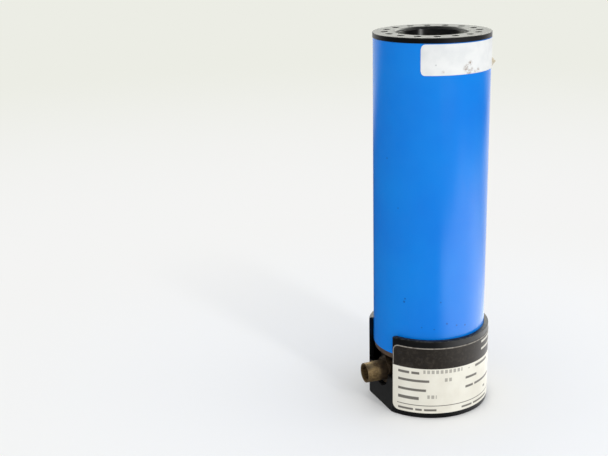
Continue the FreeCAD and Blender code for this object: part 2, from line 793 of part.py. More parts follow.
def make_lead():
    """The wire from the connector's contact up through the end plate to the board."""
    body = new_body("rf_lead", "size.connector_height")
    path = new_sketch(body, "XZ_Plane")
    radius = value(body, "size.lead_bend")
    end = f"({BOARD_TOP} + size.tail_reach - size.connector_height)"
    centre = FreeCAD.Vector(-value(body, CONTACT_BACK), radius, 0)
    corner = FreeCAD.Vector(centre.x + radius, radius, 0)
    circle = Part.Circle(centre, ALONG_Z, radius)
    bend = path.addGeometry(Part.ArcOfCircle(circle, math.radians(270), math.radians(360)), False)
    run = path.addGeometry(Part.LineSegment(corner, FreeCAD.Vector(corner.x, value(body, end), 0)), False)
    path.addConstraint(Sketcher.Constraint("Tangent", bend, 2, run, 1))
    path.addConstraint(Sketcher.Constraint("Vertical", run))
    pin_point(path, bend, 1, f"-{CONTACT_BACK}", "0")
    pin_point(path, bend, 3, f"-{CONTACT_BACK}", "size.lead_bend")
    pin_point(path, run, 2, None, end)
    section = new_sketch(body, "YZ_Plane", ("0", "0", f"-{CONTACT_BACK}"))
    pipe = body.newObject("PartDesign::AdditivePipe", "wire")
    pipe.Profile = draw_circle(section, "0", "0", "size.lead_radius")
    pipe.Spine = (path, ["Edge1", "Edge2"])


# Hexagon spacers and their screws

def make_post(label, level, length, place, stud):
    """A hexagon spacer, tapped at its foot, with a stud or another tapped hole at its top."""
    body = new_body(label, level, across=place[0], up=place[1])
    pad(body, draw_outline(new_sketch(body, "XY_Plane"), hexagon("size.post_across")), length)
    if stud:
        pin = draw_circle(new_sketch(body, "XY_Plane", ("0", "0", length)), "0", "0", "size.screw_radius")
        pad(body, pin, "size.stud_length")
    else:
        drill(body, [("0", "0")], TAPPED, TAPPED_DEPTH, from_level=length, downwards=True)
    drill(body, [("0", "0")], TAPPED, TAPPED_DEPTH)


def make_posts():
    for number, place in enumerate(on_diagonals(POST_CIRCLE), start=1):
        make_post(f"lower_post_{number}", PLATE_TOP, "size.lower_post_length", place, stud=True)
        make_post(f"upper_post_{number}", BOARD_TOP, "size.upper_post_length", place, stud=False)


def pan_head_corners(seat, head, tip, radius="size.screw_radius", head_radius="size.head_radius"):
    """A screw with a flat cylindrical head, from the head's outer face to the tip."""
    return [("0", head), (head_radius, head), (head_radius, seat), (radius, seat), (radius, tip), ("0", tip)]


def make_post_screws():
    low = new_body("post_screws_low", PLATE, turn="45")
    profile = screw_profile(low, POST_CIRCLE, pan_head_corners(
        HEAD_RECESS_DEPTH, "size.screw_clearance", f"({PLATE_TOP} - {PLATE} + size.screw_grip)"))
    pattern(low, [revolve(low, profile)], "4")
    high = new_body("post_screws_high", f"({COIL_BASE} + size.coil_base_thickness)", turn="45")
    profile = screw_profile(high, POST_CIRCLE, pan_head_corners(
        "0", "size.head_height", "-(size.coil_base_thickness + size.screw_grip)"))
    pattern(high, [revolve(high, profile)], "4")


# Connector and the bracket that carries it

def make_bracket():
    """The bent metal angle, its short leg screwed up against the end plate."""
    body = new_body("connector_bracket", PLATE)
    foot = f"(size.connector_height - size.bracket_drop - {PLATE})"
    end = f"-({BRACKET_FACE} - size.bracket_leg)"
    profile = draw_outline(new_sketch(body, "XZ_Plane"), [
        (f"-{BRACKET_FACE}", foot),
        (f"-{BRACKET_BACK}", foot),
        (f"-{BRACKET_BACK}", "-size.bracket_thickness"),
        (end, "-size.bracket_thickness"),
        (end, "0"),
        (f"-{BRACKET_FACE}", "0"),
    ])
    pad(body, profile, "(2 * size.bracket_half_width)", symmetric=True)
    hole = new_sketch(body, "YZ_Plane", ("0", f"(size.connector_height - {PLATE})", "0"))
    cut(body, draw_circle(hole, "0", "0", "(size.thread_radius + size.screw_clearance)"))
    drill(body, BRACKET_SCREWS, SMALL_HOLE, downwards=True)
    half = value(body, "size.bracket_half_width")
    bottom = value(body, foot)
    fillet(body, line_through(x=-value(body, BRACKET_FACE), z=0), "size.bracket_bend")
    fillet(body, line_through(x=-value(body, BRACKET_BACK), z=-value(body, "size.bracket_thickness")),
           "(size.bracket_bend - size.bracket_thickness)")
    fillet(body, line_through(y=half, z=bottom), "size.bracket_corner")
    fillet(body, line_through(y=-half, z=bottom), "size.bracket_corner")


def make_bracket_screws():
    body = new_body("bracket_screws", f"({PLATE} - size.bracket_thickness)")
    sketch = new_sketch(body, "XZ_Plane", (f"-{BRACKET_SCREW}", "0", "size.bracket_screw_side"))
    profile = draw_outline(sketch, pan_head_corners(
        "0", "-size.small_head_height", "(size.bracket_thickness + size.screw_grip)",
        "size.small_screw_radius", "size.small_head_radius"))
    mirror(body, [revolve(body, profile)])


def make_connector():
    """The coaxial connector, from its rear to its open end."""
    flange = f"({SHELL_BACK} + size.shell_flange)"
    step = f"({CONNECTOR_END} - size.barrel_length)"
    turned("connector_shell", None, [
        ("size.barrel_bore", SHELL_BACK),
        ("size.shell_flange_radius", SHELL_BACK),
        ("size.shell_flange_radius", flange),
        ("size.thread_radius", flange),
        ("size.thread_radius", step),
        ("size.barrel_radius", step),
        ("size.barrel_radius", CONNECTOR_END),
        ("size.barrel_bore", CONNECTOR_END),
    ], new_connector_body("connector_shell"))
    turned("lock_washer", None, ring_corners(
        "(size.thread_radius + size.screw_clearance)", "size.shell_flange_radius", flange, BRACKET_BACK,
    ), new_connector_body("lock_washer"))
    back = f"({SHELL_BACK} - size.insulator_flange)"
    bore = "(size.contact_body + size.seat_clearance / 2)"
    plug = "(size.barrel_bore - size.seat_clearance / 2)"
    lip = "(size.barrel_bore + size.insulator_lip)"
    turned("connector_insulator", None, [
        (bore, back),
        (lip, back),
        (lip, SHELL_BACK),
        (plug, SHELL_BACK),
        (plug, INSULATOR_END),
        (bore, INSULATOR_END),
    ], new_connector_body("connector_insulator"))
    tip = f"({CONNECTOR_END} - size.contact_setback)"
    turned("centre_contact", None, [
        ("0", CONTACT_BACK),
        ("size.contact_body", CONTACT_BACK),
        ("size.contact_body", INSULATOR_END),
        ("size.contact_radius", INSULATOR_END),
        ("size.contact_radius", tip),
        ("0", tip),
    ], new_connector_body("centre_contact"))


def make_connector_nut():
    """The hexagon nut, its outer corners turned off at 30 degrees."""
    body = new_connector_body("connector_nut")
    outline = new_sketch(body, "XY_Plane", ("0", "0", BRACKET_FACE))
    pad(body, draw_outline(outline, hexagon("size.nut_across")), "size.nut_thickness")
    drill(body, [("0", "0")], "(size.thread_radius + size.screw_clearance / 2)")
    flat = "(size.nut_across / 2)"
    outside = f"({NUT_CORNER} + size.nut_bevel)"
    top = f"({BRACKET_FACE} + size.nut_thickness)"
    profile = draw_outline(new_sketch(body, "XZ_Plane"), [
        (flat, top),
        (outside, top),
        (outside, f"({top} - ({outside} - {flat}) * tan(30))"),
    ])
    revolve(body, profile, kind="Groove")


# Films stuck round the base and the tube

def draw_corner(sketch, across, up, radius, inwards, upwards):
    """What a rounded corner leaves over: two straight sides and a quarter circle between them."""
    corner = FreeCAD.Vector(value(sketch, across), value(sketch, up), 0)
    reach = value(sketch, radius)
    beside = corner + FreeCAD.Vector(inwards * reach, 0, 0)
    above = corner + FreeCAD.Vector(0, upwards * reach, 0)
    centre = corner + FreeCAD.Vector(inwards * reach, upwards * reach, 0)
    first = above if inwards == upwards else beside
    start = math.atan2(first.y - centre.y, first.x - centre.x)
    circle = Part.Circle(centre, ALONG_Z, reach)
    side = sketch.addGeometry(Part.LineSegment(corner, beside), False)
    arc = sketch.addGeometry(Part.ArcOfCircle(circle, start, start + math.radians(90)), False)
    rise = sketch.addGeometry(Part.LineSegment(above, corner), False)
    beside_end, above_end = (2, 1) if inwards == upwards else (1, 2)
    sketch.addConstraint(Sketcher.Constraint("Coincident", rise, 2, side, 1))
    sketch.addConstraint(Sketcher.Constraint("Coincident", side, 2, arc, beside_end))
    sketch.addConstraint(Sketcher.Constraint("Coincident", rise, 1, arc, above_end))
    reach_across = f"({across} {'+' if inwards > 0 else '-'} {radius})"
    reach_up = f"({up} {'+' if upwards > 0 else '-'} {radius})"
    pin_point(sketch, side, 1, across, up)
    pin_point(sketch, side, 2, reach_across, up)
    pin_point(sketch, rise, 1, None, reach_up)
    pin_point(sketch, arc, 3, reach_across, reach_up)


def round_film_end(body, turn, end, height, radius, inwards):
    """Round both corners of a film's end, cutting outwards through it."""
    sketch = new_sketch(body, "YZ_Plane", axis=ALONG_Y, turn=turn)
    draw_corner(sketch, end, "0", radius, inwards, 1)
    draw_corner(sketch, end, height, radius, inwards, -1)
    cut(body, sketch, forwards=True)


def wrap_film(label, level, start, wrap, inside, height):
    """A film round a cylinder, from a starting angle and on through the angle that it wraps."""
    body = new_body(label, level, turn=start)
    section = ring_corners(inside, f"({inside} + size.film_thickness)", "0", height)
    revolve(body, draw_outline(new_sketch(body, "XZ_Plane"), section), wrap)
    return body


def make_data_label():
    height = "(size.cup_height - size.label_foot - size.label_margin)"
    body = wrap_film("data_label", "size.label_foot", "size.label_start_angle", "size.label_wrap_angle",
                     CUP_OUTSIDE, height)
    round_film_end(body, "0", "0", height, "size.label_corner", 1)
    round_film_end(body, "size.label_wrap_angle", "0", height, "size.label_corner", -1)


def make_tube_label():
    """The plain film under the front ring, its far end lifting off along a tangent."""
    level = f"({TUBE_TOP} - size.tube_label_gap - size.tube_label_height)"
    body = wrap_film("tube_label", level, "size.tube_label_start_angle", "size.tube_label_wrap_angle",
                     "size.tube_radius", "size.tube_label_height")
    outside = "(size.tube_radius + size.film_thickness)"
    flap = draw_outline(new_sketch(body, "XY_Plane", turn="size.tube_label_wrap_angle"), [
        ("size.tube_radius", "0"),
        (outside, "0"),
        (outside, "size.tube_label_flap"),
        ("size.tube_radius", "size.tube_label_flap"),
    ])
    pad(body, flap, "size.tube_label_height")
    round_film_end(body, "0", "0", "size.tube_label_height", "size.tube_label_corner", 1)
    round_film_end(body, "size.tube_label_wrap_angle", "size.tube_label_flap", "size.tube_label_height",
                   "size.tube_label_corner", -1)


def check_model():
    """Stop unless every object worked out and every sub-part is a sound solid."""
    faults = []
    for thing in doc.Objects:
        if "Invalid" in thing.State or "Error" in thing.State:
            owner = getattr(thing, "_Body", None) or thing
            faults.append(f"{thing.Name} of {owner.Label} failed: {thing.State}")
    for label, piece in parts.items():
        if piece.Shape.isNull() or not piece.Shape.isValid() or not piece.Shape.Solids:
            faults.append(f"{label} isn't a sound solid")
    if faults:
        raise RuntimeError("; ".join(faults))


def write_parts():
    os.makedirs("parts", exist_ok=True)
    for label, piece in parts.items():
        piece.Shape.exportStep(f"parts/{label}.step")
        print(f"{label}: {piece.Shape.Volume:.1f} mm3")


fill_sheet()
make_base_housing()
make_base_screws()
make_data_label()
make_outer_tube()
make_tube_screws()
make_tube_label()
make_front_ring()
make_end_plate()
make_window_stack()
make_window_cell()
make_former_stack()
make_coil_base()
make_bulb()
make_coil()
make_coil_leads()
make_matching_board()
make_capacitor("series_capacitor", CAPACITORS[0])
make_capacitor("parallel_capacitor", CAPACITORS[1])
make_lead()
make_posts()
make_post_screws()
make_bracket()
make_bracket_screws()
make_connector()
make_connector_nut()
doc.recompute()
check_model()
write_parts()
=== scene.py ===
import json
import math

import bmesh
import bpy
from mathutils import Matrix, Vector, noise


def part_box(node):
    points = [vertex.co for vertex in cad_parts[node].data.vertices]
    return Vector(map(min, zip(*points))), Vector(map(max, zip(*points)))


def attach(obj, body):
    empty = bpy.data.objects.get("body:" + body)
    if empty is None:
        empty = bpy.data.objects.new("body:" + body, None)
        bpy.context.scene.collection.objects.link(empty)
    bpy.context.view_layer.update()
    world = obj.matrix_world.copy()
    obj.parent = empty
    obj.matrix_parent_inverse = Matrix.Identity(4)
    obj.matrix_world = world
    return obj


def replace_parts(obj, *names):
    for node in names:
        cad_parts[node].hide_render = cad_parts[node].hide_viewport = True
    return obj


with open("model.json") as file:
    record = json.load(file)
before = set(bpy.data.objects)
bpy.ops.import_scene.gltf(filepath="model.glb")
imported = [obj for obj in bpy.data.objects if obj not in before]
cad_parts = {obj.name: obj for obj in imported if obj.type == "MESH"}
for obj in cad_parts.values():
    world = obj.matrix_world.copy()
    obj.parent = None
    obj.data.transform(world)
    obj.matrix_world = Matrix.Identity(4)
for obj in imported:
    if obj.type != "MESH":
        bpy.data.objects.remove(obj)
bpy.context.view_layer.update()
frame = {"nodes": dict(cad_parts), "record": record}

# Everything is in metres, and a shader's places are in millimetres

MM = 0.001
SHARP_ANGLE = math.radians(40)

# Camera, fitted to the tube, the base and the ring

PHOTO_WIDTH = 608
FOCAL_PIXELS = 1052.6
SENSOR = 36.0
CLIP_START = 0.01
CAMERA_DISTANCE = 458.2 * MM
CAMERA_HEIGHT = 224.6 * MM
CAMERA_TURN = math.radians(-28.5)
CAMERA_YAW = -0.1243
CAMERA_PITCH = 0.3022
CAMERA_ROLL = -0.0245


def make_camera():
    """The camera at the photograph's place, turned about the lamp's axis."""
    data = bpy.data.cameras.new("camera")
    data.sensor_width = SENSOR
    data.lens = FOCAL_PIXELS / PHOTO_WIDTH * SENSOR
    data.clip_start = CLIP_START
    camera = bpy.data.objects.new("camera", data)
    bpy.context.scene.collection.objects.link(camera)
    place = Matrix.Translation((0, -CAMERA_DISTANCE, CAMERA_HEIGHT))
    yaw = Matrix.Rotation(-CAMERA_YAW, 4, "Z")
    pitch = Matrix.Rotation(math.radians(90) - CAMERA_PITCH, 4, "X")
    roll = Matrix.Rotation(CAMERA_ROLL, 4, "Z")
    camera.matrix_world = Matrix.Rotation(CAMERA_TURN, 4, "Z") @ place @ yaw @ pitch @ roll
    bpy.context.scene.camera = camera


# Shader arithmetic

# The Mix node's sockets for colours share their names with its sockets for numbers
MIX_FIRST = 6
MIX_SECOND = 7
MIX_RESULT = 2


def srgb(red, green, blue):
    """A colour as a screen shows it, from 0 to 255, turned into the shader's linear one."""
    def linear(level):
        share = level / 255
        return share / 12.92 if share <= 0.04045 else ((share + 0.055) / 1.055) ** 2.4
    return (linear(red), linear(green), linear(blue), 1.0)


class Value:
    """What a shader node gives, with arithmetic."""

    def __init__(self, tree, socket):
        self.tree = tree
        self.socket = socket

    def node(self, kind, inputs, output=0, **settings):
        """Add a node of any kind, with its inputs by name or number, and give one of its outputs."""
        added = self.tree.nodes.new("ShaderNode" + kind)
        for name, setting in settings.items():
            setattr(added, name, setting)
        for name, item in inputs.items():
            feed(self.tree, added.inputs[name], item)
        return Value(self.tree, added.outputs[output])

    def math(self, operation, *others):
        return self.node("Math", dict(enumerate((self, *others))), operation=operation)

    def __add__(self, other):
        return self.math("ADD", other)

    __radd__ = __add__

    def __mul__(self, other):
        return self.math("MULTIPLY", other)

    __rmul__ = __mul__

    def __sub__(self, other):
        return self.math("SUBTRACT", other)

    def __rsub__(self, other):
        return self * -1 + other

    def __abs__(self):
        return self.math("ABSOLUTE")

    def most(self, other):
        return self.math("MAXIMUM", other)

    def step(self, low, high):
        """From 0 below low to 1 above high, smoothly; low may be the greater, to fall instead."""
        falls = low > high
        return self.node("MapRange", {
            "Value": self,
            "From Min": min(low, high),
            "From Max": max(low, high),
            "To Min": float(falls),
            "To Max": float(not falls),
        }, interpolation_type="SMOOTHSTEP")

    def between(self, low, high, soft):
        """1 between low and high and 0 outside, with soft edges."""
        return self.step(low - soft / 2, low + soft / 2) * self.step(high + soft / 2, high - soft / 2)

    def mix(self, first, second):
        """The first colour where this is 0 and the second where it is 1."""
        inputs = {"Factor": self, MIX_FIRST: first, MIX_SECOND: second}
        return self.node("Mix", inputs, output=MIX_RESULT, data_type="RGBA")

    def axis(self, index):
        return self.node("SeparateXYZ", {"Vector": self}, output=index)

    def stretched(self, x, y, z):
        return self.node("VectorMath", {0: self, 1: (x, y, z)}, operation="MULTIPLY")

    def noise(self, scale, detail=2.0, roughness=0.5):
        """A cloudy number about 0.5, with features 1 / scale millimetres across."""
        inputs = {"Vector": self, "Scale": scale, "Detail": detail, "Roughness": roughness}
        return self.node("TexNoise", inputs)

    def length(self):
        return self.node("VectorMath", {0: self}, output="Value", operation="LENGTH")

    def near(self, point, radius, soft):
        """1 within a radius of a point, with a soft edge."""
        away = self.node("VectorMath", {0: self, 1: point}, output="Value", operation="DISTANCE")
        return away.step(radius + soft / 2, radius - soft / 2)


def feed(tree, socket, item):
    """Link or set an input."""
    if isinstance(item, Value):
        tree.links.new(item.socket, socket)
    else:
        socket.default_value = item


def joined(masks):
    """The greatest of several masks at each point."""
    whole = masks[0]
    for mask in masks[1:]:
        whole = whole.most(mask)
    return whole


class Surface:
    """A material being made: its shader, and where a point lies in millimetres."""

    def __init__(self, name, **constants):
        """Keywords are the shader's sockets, such as specular_ior_level, that are the same all over."""
        self.material = bpy.data.materials.new(name)
        self.material.use_nodes = True
        tree = self.material.node_tree
        self.tree = tree
        self.shader = tree.nodes["Principled BSDF"]
        metres = Value(tree, tree.nodes.new("ShaderNodeTexCoord").outputs["Object"])
        self.place = metres.stretched(1 / MM, 1 / MM, 1 / MM)
        for words, number in constants.items():
            self.put(words.replace("_", " ").title().replace("Ior", "IOR"), number)

    def put(self, name, item):
        feed(self.tree, self.shader.inputs[name], item)

    def turned_finish(self, share):
        """Spread the sheen across fine marks that run round the tube's axis, as a lathe leaves them."""
        self.put("Anisotropic", share)
        self.put("Anisotropic Rotation", 0.25)

    def bump(self, height, depth):
        """Raise the surface by a height from 0 to 1, with its full depth in millimetres."""
        self.put("Normal", height.node("Bump", {"Height": height, "Distance": depth * MM}))


def around(surface, start):
    """The angle from a start, in degrees about the tube's axis, from 0 to 360."""
    x = surface.place.axis(0)
    y = surface.place.axis(1)
    angle = y.math("ARCTAN2", x) * math.degrees(1) - start
    return angle.math("FLOORED_MODULO", 360)


def on_cylinder(radius, degrees, height):
    """A place on a cylinder round the tube's axis, in millimetres."""
    angle = math.radians(degrees)
    return (radius * math.cos(angle), radius * math.sin(angle), height)


def spotted(place, radius, spots, soft):
    """1 on spots round a cylinder, each given as (degrees, height, radius)."""
    masks = []
    for degrees, height, size in spots:
        masks.append(place.near(on_cylinder(radius, degrees, height), size, soft))
    return joined(masks)


# Plain finishes, whose noise gives most of its values between these two

PATCHES = (0.3, 0.7)
METAL = {"metallic": 1.0}
GLASS = {"transmission_weight": 1.0, "ior": 1.46}


def varied(name, dark, light, rough, scale, bump=0.0, grain=3.0, **constants):
    """Two shades in soft patches, with roughness that varies between two numbers and a fine grain."""
    surface = Surface(name, **constants)
    patches = surface.place.noise(scale, 4, 0.6)
    surface.put("Base Color", patches.step(*PATCHES).mix(srgb(*dark), srgb(*light)))
    smooth, coarse = rough
    spread = coarse - smooth
    surface.put("Roughness", patches * (spread * 1.5) + (smooth - spread * 0.25))
    if bump:
        surface.bump(surface.place.noise(grain, 2), bump)
    return surface


# Each as (slot, dark, light, roughness, patches per mm, bump in mm, grain per mm, other sockets)
PLAIN_FINISHES = (
    ("phenolic", (74, 58, 48), (96, 76, 60), (0.45, 0.6), 0.4, 0.01, 3.0, {}),
    ("bracket_metal", (84, 84, 83), (112, 112, 110), (0.35, 0.5), 0.3, 0.006, 3.0, METAL),
    ("screw_steel", (168, 168, 166), (204, 204, 202), (0.2, 0.36), 0.5, 0.0, 3.0, METAL),
    ("screw_black", (26, 26, 27), (44, 44, 44), (0.35, 0.5), 0.6, 0.0, 3.0, {}),
    ("spacer_metal", (176, 172, 158), (206, 202, 188), (0.22, 0.38), 0.3, 0.0, 3.0, METAL),
    ("copper", (168, 98, 62), (214, 134, 92), (0.22, 0.42), 0.15, 0.0, 3.0, METAL),
    ("tinned_wire", (170, 170, 172), (206, 206, 208), (0.25, 0.4), 0.4, 0.0, 3.0, METAL),
    ("former_ceramic", (224, 219, 206), (240, 236, 226), (0.6, 0.75), 0.1, 0.01, 3.0, {}),
    ("capacitor_ceramic", (176, 122, 74), (198, 142, 92), (0.15, 0.28), 0.2, 0.0, 3.0, {}),
    ("fibre", (222, 220, 212), (244, 243, 238), (0.85, 0.95), 0.6, 0.12, 1.5, {}),
    ("quartz", (250, 251, 252), (255, 255, 255), (0.02, 0.05), 0.1, 0.0, 3.0, GLASS),
    ("element", (96, 96, 100), (150, 150, 156), (0.2, 0.45), 1.2, 0.05, 3.0, METAL),
    ("board", (112, 126, 84), (132, 146, 102), (0.4, 0.55), 0.6, 0.01, 2.0, {}),
    ("white_resin", (228, 228, 222), (242, 242, 238), (0.4, 0.5), 0.15, 0.006, 3.0, {}),
    ("seal", (214, 214, 210), (232, 232, 228), (0.5, 0.62), 0.3, 0.01, 3.0, {}),
)


# The tube's paint

TUBE_RADIUS = 25.4
SPECK_EDGE = 0.4
SPECK_STRENGTH = 0.6
PAINT_SPECKS = (
    (216.6, 54.4, 0.45), (217.5, 55.9, 0.35), (253.6, 55.1, 0.3), (260.3, 44.8, 0.4),
    (270.9, 43.4, 0.35), (281.1, 42.7, 0.4), (235.0, 43.2, 0.25), (247.4, 42.4, 0.25),
    (194.8, 118.0, 0.3), (209.2, 96.9, 0.25),
)


def make_tube_paint():
    """Satin blue paint with a faint orange peel and a few dark specks."""
    surface = Surface("tube_paint", specular_ior_level=0.35)
    place = surface.place
    blue = place.noise(0.03, 3).step(*PATCHES).mix(srgb(0, 116, 214), srgb(0, 124, 218))
    specks = spotted(place, TUBE_RADIUS, PAINT_SPECKS, SPECK_EDGE)
    surface.put("Base Color", (specks * SPECK_STRENGTH).mix(blue, srgb(8, 30, 84)))
    surface.put("Roughness", place.noise(0.15, 3) * 0.08 + 0.2)
    surface.bump(place.noise(0.9, 2), 0.006)
    return surface


# The ring, with its bevel's reach from the tube's axis

RING_TOP = 169.9
BEVEL_DEPTH = 1.0
BEVEL_EDGE = (16, 15.5)
BEVEL_ROUGHNESS = 0.75


def make_ring_plastic():
    """Polished black moulding, its upper face paler with dust and a painted sheen and lightly worn, and
    its bevel matt.
    """
    surface = Surface("ring_plastic")
    place = surface.place
    up = place.axis(2)
    # Pale patches on the upper face: partly dust, partly a painted sheen
    dust_and_sheen = place.noise(1.4, 5, 0.7).step(0.4, 0.75)
    face = up.step(RING_TOP - 0.4, RING_TOP - 0.1)
    surface.put("Base Color", (dust_and_sheen * face * 0.5).mix(srgb(10, 10, 11), srgb(120, 118, 112)))
    across = place.stretched(1, 1, 0).length()
    bevel = up.step(RING_TOP - 0.05, RING_TOP - 0.2) * across.step(*BEVEL_EDGE)
    worn = place.noise(0.4, 4, 0.65) * 0.15 + 0.3
    surface.put("Roughness", worn * (1 - bevel) + bevel * BEVEL_ROUGHNESS)
    surface.turned_finish(0.3)
    return surface


# The base and the light tube

CUP_TOP = 37.4


def make_base_plastic():
    """Satin black moulding with a fine grain, rubbed paler at its rim."""
    surface = Surface("base_plastic", specular_ior_level=0.28)
    place = surface.place
    rubbed = place.axis(2).step(CUP_TOP - 0.8, CUP_TOP - 0.1) * place.noise(0.8, 4, 0.7).step(0.4, 0.65)
    black = place.noise(0.08, 3).step(*PATCHES).mix(srgb(13, 14, 15), srgb(19, 20, 21))
    surface.put("Base Color", (rubbed * 0.4).mix(black, srgb(92, 90, 88)))
    surface.put("Roughness", place.noise(0.25, 4, 0.6) * 0.2 + 0.32)
    surface.bump(place.noise(4.0, 2), 0.012)
    return surface


def make_black_tube():
    """Dark metal tube, turned inside."""
    surface = varied("black_tube", (106, 106, 105), (120, 120, 118), (0.36, 0.42), 0.3, **METAL)
    surface.turned_finish(1.0)
    return surface


# The base's film, in millimetres along from its near end and up from the lamp's foot

LABEL_RADIUS = 27.6
LABEL_START = 207.0
LABEL_LENGTH = math.radians(187.0) * LABEL_RADIUS
LABEL_HIGH = 34.2
HEADER_LOW = 24.2
HEADER_MARGIN = 0.45
HEADER_CORNER = 2.6
PANEL_FOOT = -17.5
RULE_MARGIN = 2.4
RULE_LEVEL = 6.2
RULE_TALL = 0.35
PRINT_STRENGTH = 0.84
TYPED_STRENGTH = 0.5
RULE_STRENGTH = 0.9
HEADER_PRINT_STRENGTH = 0.75

# Plain bars where lines of print stand, each as (left, right, middle, height)
PRINTED_ROWS = (
    (2.9, 8.3, 22.0, 1.2), (9.3, 12.9, 22.0, 1.2), (2.9, 17.4, 18.2, 1.2), (2.9, 16.0, 13.7, 1.2),
    (2.9, 12.8, 9.6, 1.5), (34.9, 42.0, 18.0, 1.1), (34.9, 39.6, 13.6, 1.1), (40.6, 56.0, 13.6, 1.1),
    (48.4, 50.2, 9.3, 1.0), (40.9, 52.0, 22.3, 1.2), (2.9, 10.2, 4.1, 1.0), (11.2, 14.2, 4.1, 1.0),
    (15.2, 20.8, 4.1, 1.0), (33.0, 39.0, 4.1, 0.9), (40.0, 52.0, 4.1, 0.9),
)
TYPED_ROWS = (
    (14.7, 33.0, 22.8, 1.7), (24.3, 28.2, 18.7, 1.7), (16.6, 20.8, 10.6, 1.7), (35.8, 37.2, 22.4, 0.5),
)
TYPED_PITCH = 2.0
TYPED_BLOCK = (0.2, 0.85)
HEADER_ROWS = ((45.5, 58.0, 32.3, 1.0), (45.5, 60.0, 28.8, 1.0))


def bar(along, up, left, right, middle, tall, soft=0.3):
    """A plain printed bar."""
    return along.between(left, right, soft) * up.between(middle - tall / 2, middle + tall / 2, soft)


def bar_rows(along, up, rows):
    """Several printed bars together."""
    return joined([bar(along, up, *row) for row in rows])


def rounded_panel(along, up, left, right, low, high, radius, soft):
    """1 inside a rectangle with rounded corners."""
    across = (abs(along - (left + right) / 2) - ((right - left) / 2 - radius)).most(0)
    upwards = (abs(up - (low + high) / 2) - ((high - low) / 2 - radius)).most(0)
    reach = (across * across + upwards * upwards).math("SQRT")
    return reach.step(radius + soft / 2, radius - soft / 2)


def make_label_film():
    """Cream film with a dark header, a ruled foot and plain bars where lines of print stand."""
    surface = Surface("label_film", specular_ior_level=0.15)
    place = surface.place
    along = around(surface, LABEL_START) * (math.radians(1) * LABEL_RADIUS)
    up = place.axis(2)
    wear = place.noise(0.5, 5, 0.7)

    paper = place.noise(0.12, 4).step(*PATCHES).mix(srgb(217, 213, 200), srgb(226, 223, 211))
    printed = bar_rows(along, up, PRINTED_ROWS) * PRINT_STRENGTH
    blocks = (along * (1 / TYPED_PITCH)).math("FRACT").between(*TYPED_BLOCK, 0.12)
    typed = bar_rows(along, up, TYPED_ROWS) * blocks * TYPED_STRENGTH
    rule = bar(along, up, RULE_MARGIN, LABEL_LENGTH - RULE_MARGIN, RULE_LEVEL, RULE_TALL, 0.2)
    ink = joined([printed, typed, rule * RULE_STRENGTH]) * (1 - wear.step(0.62, 0.75) * 0.4)
    cream = ink.mix(paper, srgb(62, 58, 55))

    border = wear.step(0.4, 0.7).mix(srgb(150, 145, 136), srgb(96, 90, 84))
    bordered = up.step(HEADER_LOW - 0.1, HEADER_LOW + 0.1).mix(cream, border)
    dark = wear.step(0.45, 0.75).mix(srgb(40, 36, 32), srgb(58, 53, 47))
    pale_bars = bar_rows(along, up, HEADER_ROWS) * HEADER_PRINT_STRENGTH
    panel = rounded_panel(along, up, HEADER_MARGIN, LABEL_LENGTH - HEADER_MARGIN,
                          PANEL_FOOT, LABEL_HIGH - HEADER_MARGIN, HEADER_CORNER, 0.2)
    header = panel * up.step(HEADER_LOW - 0.12, HEADER_LOW + 0.12)
    surface.put("Base Color", header.mix(bordered, pale_bars.mix(dark, srgb(226, 222, 210))))
    surface.put("Roughness", wear * 0.2 + 0.35)
    surface.bump(place.noise(1.5, 3), 0.01)
    return surface


# The tube's film, in millimetres along from its near end and up from its foot, its start in degrees

FILM_START = 231.5
FILM_RADIUS = 25.43
FILM_THICKNESS = 0.17
FILM_LENGTH = 47.6
FILM_CORNER = 2.0
FILM_COLUMNS = 140
FILM_ROWS = 40
PEELED_LENGTH = 7.0
PEELED_HEIGHT = 5.4
TORN_LENGTH = 5.5
TORN_HEIGHT = 1.6
FILM_CURL = 0.02
RAGGED_DEPTH = 1.2
RAGGED_PITCH = 1.3
RAGGED_START = 4.7

# Its stains and its mark, each as (degrees, height from the lamp's foot, radius)
FILM_FACE = 25.5
FILM_STAINS = (
    (279.3, 159.0, 0.9), (274.8, 157.1, 1.1), (278.4, 155.3, 1.0), (290.0, 155.6, 0.8),
    (252.0, 155.9, 0.45), (276.5, 158.2, 0.6), (281.5, 156.4, 0.6), (285.6, 155.2, 0.5),
)
FILM_MARKS = ((245.5, 158.9, 0.3),)

# Where its torn end is brown, in degrees from its near end and in height from the lamp's foot
TORN_ANGLES = (90, 98)
TORN_LEVELS = (159.3, 157.6)


def make_tube_film():
    """White film, stained and torn where its far end lifts."""
    surface = Surface("tube_film")
    place = surface.place
    fine = place.noise(1.6, 5, 0.7)
    white = place.noise(0.15, 4).step(*PATCHES).mix(srgb(213, 215, 215), srgb(225, 226, 225))
    stain = spotted(place, FILM_FACE, FILM_STAINS, 1.4) * fine.step(0.4, 0.58)
    stained = (stain * 0.8).mix(white, srgb(128, 100, 78))
    mark = spotted(place, FILM_FACE, FILM_MARKS, 0.4)
    marked = (mark * 0.5).mix(stained, srgb(120, 126, 130))
    far_end = around(surface, FILM_START).step(*TORN_ANGLES)
    torn = far_end * place.axis(2).step(*TORN_LEVELS) * fine.step(0.3, 0.5)
    surface.put("Base Color", (torn * 0.8).mix(marked, srgb(176, 158, 118)))
    surface.put("Roughness", fine * 0.15 + 0.38)
    surface.bump(fine, 0.02)
    return surface


# The connector, with painted shade where the base hides it, from the first of these places along x to
# the second

PAINTED_SHADE_SPAN = (-30.0, -25.0)


